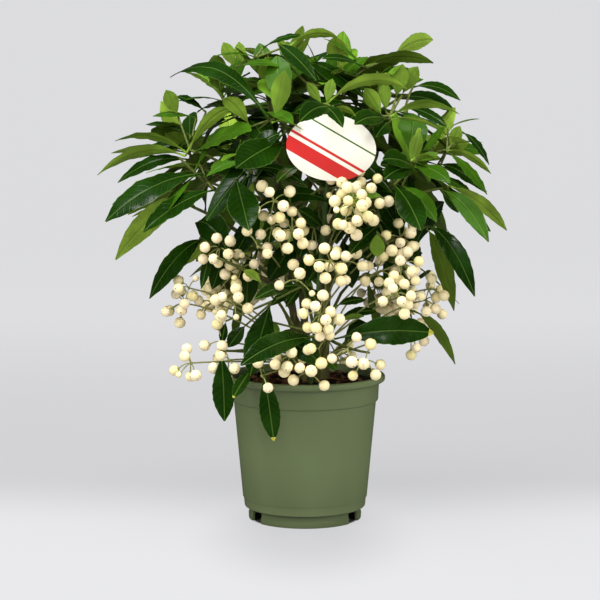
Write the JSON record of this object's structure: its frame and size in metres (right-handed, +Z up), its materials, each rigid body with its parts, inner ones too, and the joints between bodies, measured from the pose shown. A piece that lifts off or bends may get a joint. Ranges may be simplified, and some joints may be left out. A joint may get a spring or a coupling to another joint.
{
  "type": "potted coralberry shrub",
  "caption": "Small evergreen shrub with glossy pointed leaves and cream berries on slender stems, growing in a green plastic nursery pot with a blank oval name card.",
  "frame": {"origin": "on the ground under the middle of the pot", "axes": "+Z up, -Y to the front, +X to the right as seen from the front"},
  "size_m": [0.3167, 0.3066, 0.398],
  "materials": {
    "pot_plastic": "satin moulded olive green plastic with fine moulding marks",
    "soil": "damp dark peat with crumbs and dry leaf bits",
    "stem_bark": "smooth olive brown bark with leaf scars",
    "foliage": "glossy dark green leaves, light matte undersides, cream berries",
    "name_card": "smooth cream card, blank but for plain red bands, on a green stick"
  },
  "bodies": {
    "root": {"bough_shoulder_2": "stem_bark", "bough_shoulder_3": "stem_bark", "bough_shoulder_4": "stem_bark", "bough_shoulder_5": "stem_bark", "bough_shoulder_6": "stem_bark", "bough_shoulder_7": "stem_bark", "bough_shoulder_8": "stem_bark", "bough_shoulder_9": "stem_bark", "bough_skirt_1": "stem_bark", "bough_skirt_2": "stem_bark", "bough_skirt_3": "stem_bark", "bough_skirt_4": "stem_bark", "bough_skirt_5": "stem_bark", "bough_skirt_6": "stem_bark", "bough_top_1": "stem_bark", "bough_top_2": "stem_bark", "bough_top_3": "stem_bark", "bough_top_4": "stem_bark", "bough_top_5": "stem_bark", "foliage_berry_1": "foliage", "foliage_berry_2": "foliage", "foliage_berry_3": "foliage", "foliage_berry_4": "foliage", "foliage_berry_5": "foliage", "foliage_berry_6": "foliage", "foliage_crown_1": "foliage", "foliage_crown_2": "foliage", "foliage_crown_3": "foliage", "foliage_crown_4": "foliage", "foliage_shoulder_2": "foliage", "foliage_shoulder_3": "foliage", "foliage_shoulder_4": "foliage", "foliage_shoulder_5": "foliage", "foliage_shoulder_6": "foliage", "foliage_shoulder_7": "foliage", "foliage_shoulder_8": "foliage", "foliage_shoulder_9": "foliage", "foliage_skirt_1": "foliage", "foliage_skirt_2": "foliage", "foliage_skirt_3": "foliage", "foliage_skirt_4": "foliage", "foliage_skirt_5": "foliage", "foliage_skirt_6": "foliage", "foliage_top_1": "foliage", "foliage_top_2": "foliage", "foliage_top_3": "foliage", "foliage_top_4": "foliage", "foliage_top_5": "foliage", "plant_label": "name_card", "pot": "pot_plastic", "potting_soil": "soil", "stem_1": "stem_bark", "stem_2": "stem_bark", "stem_3": "stem_bark", "stem_4": "stem_bark"}
  },
  "joints": []
}
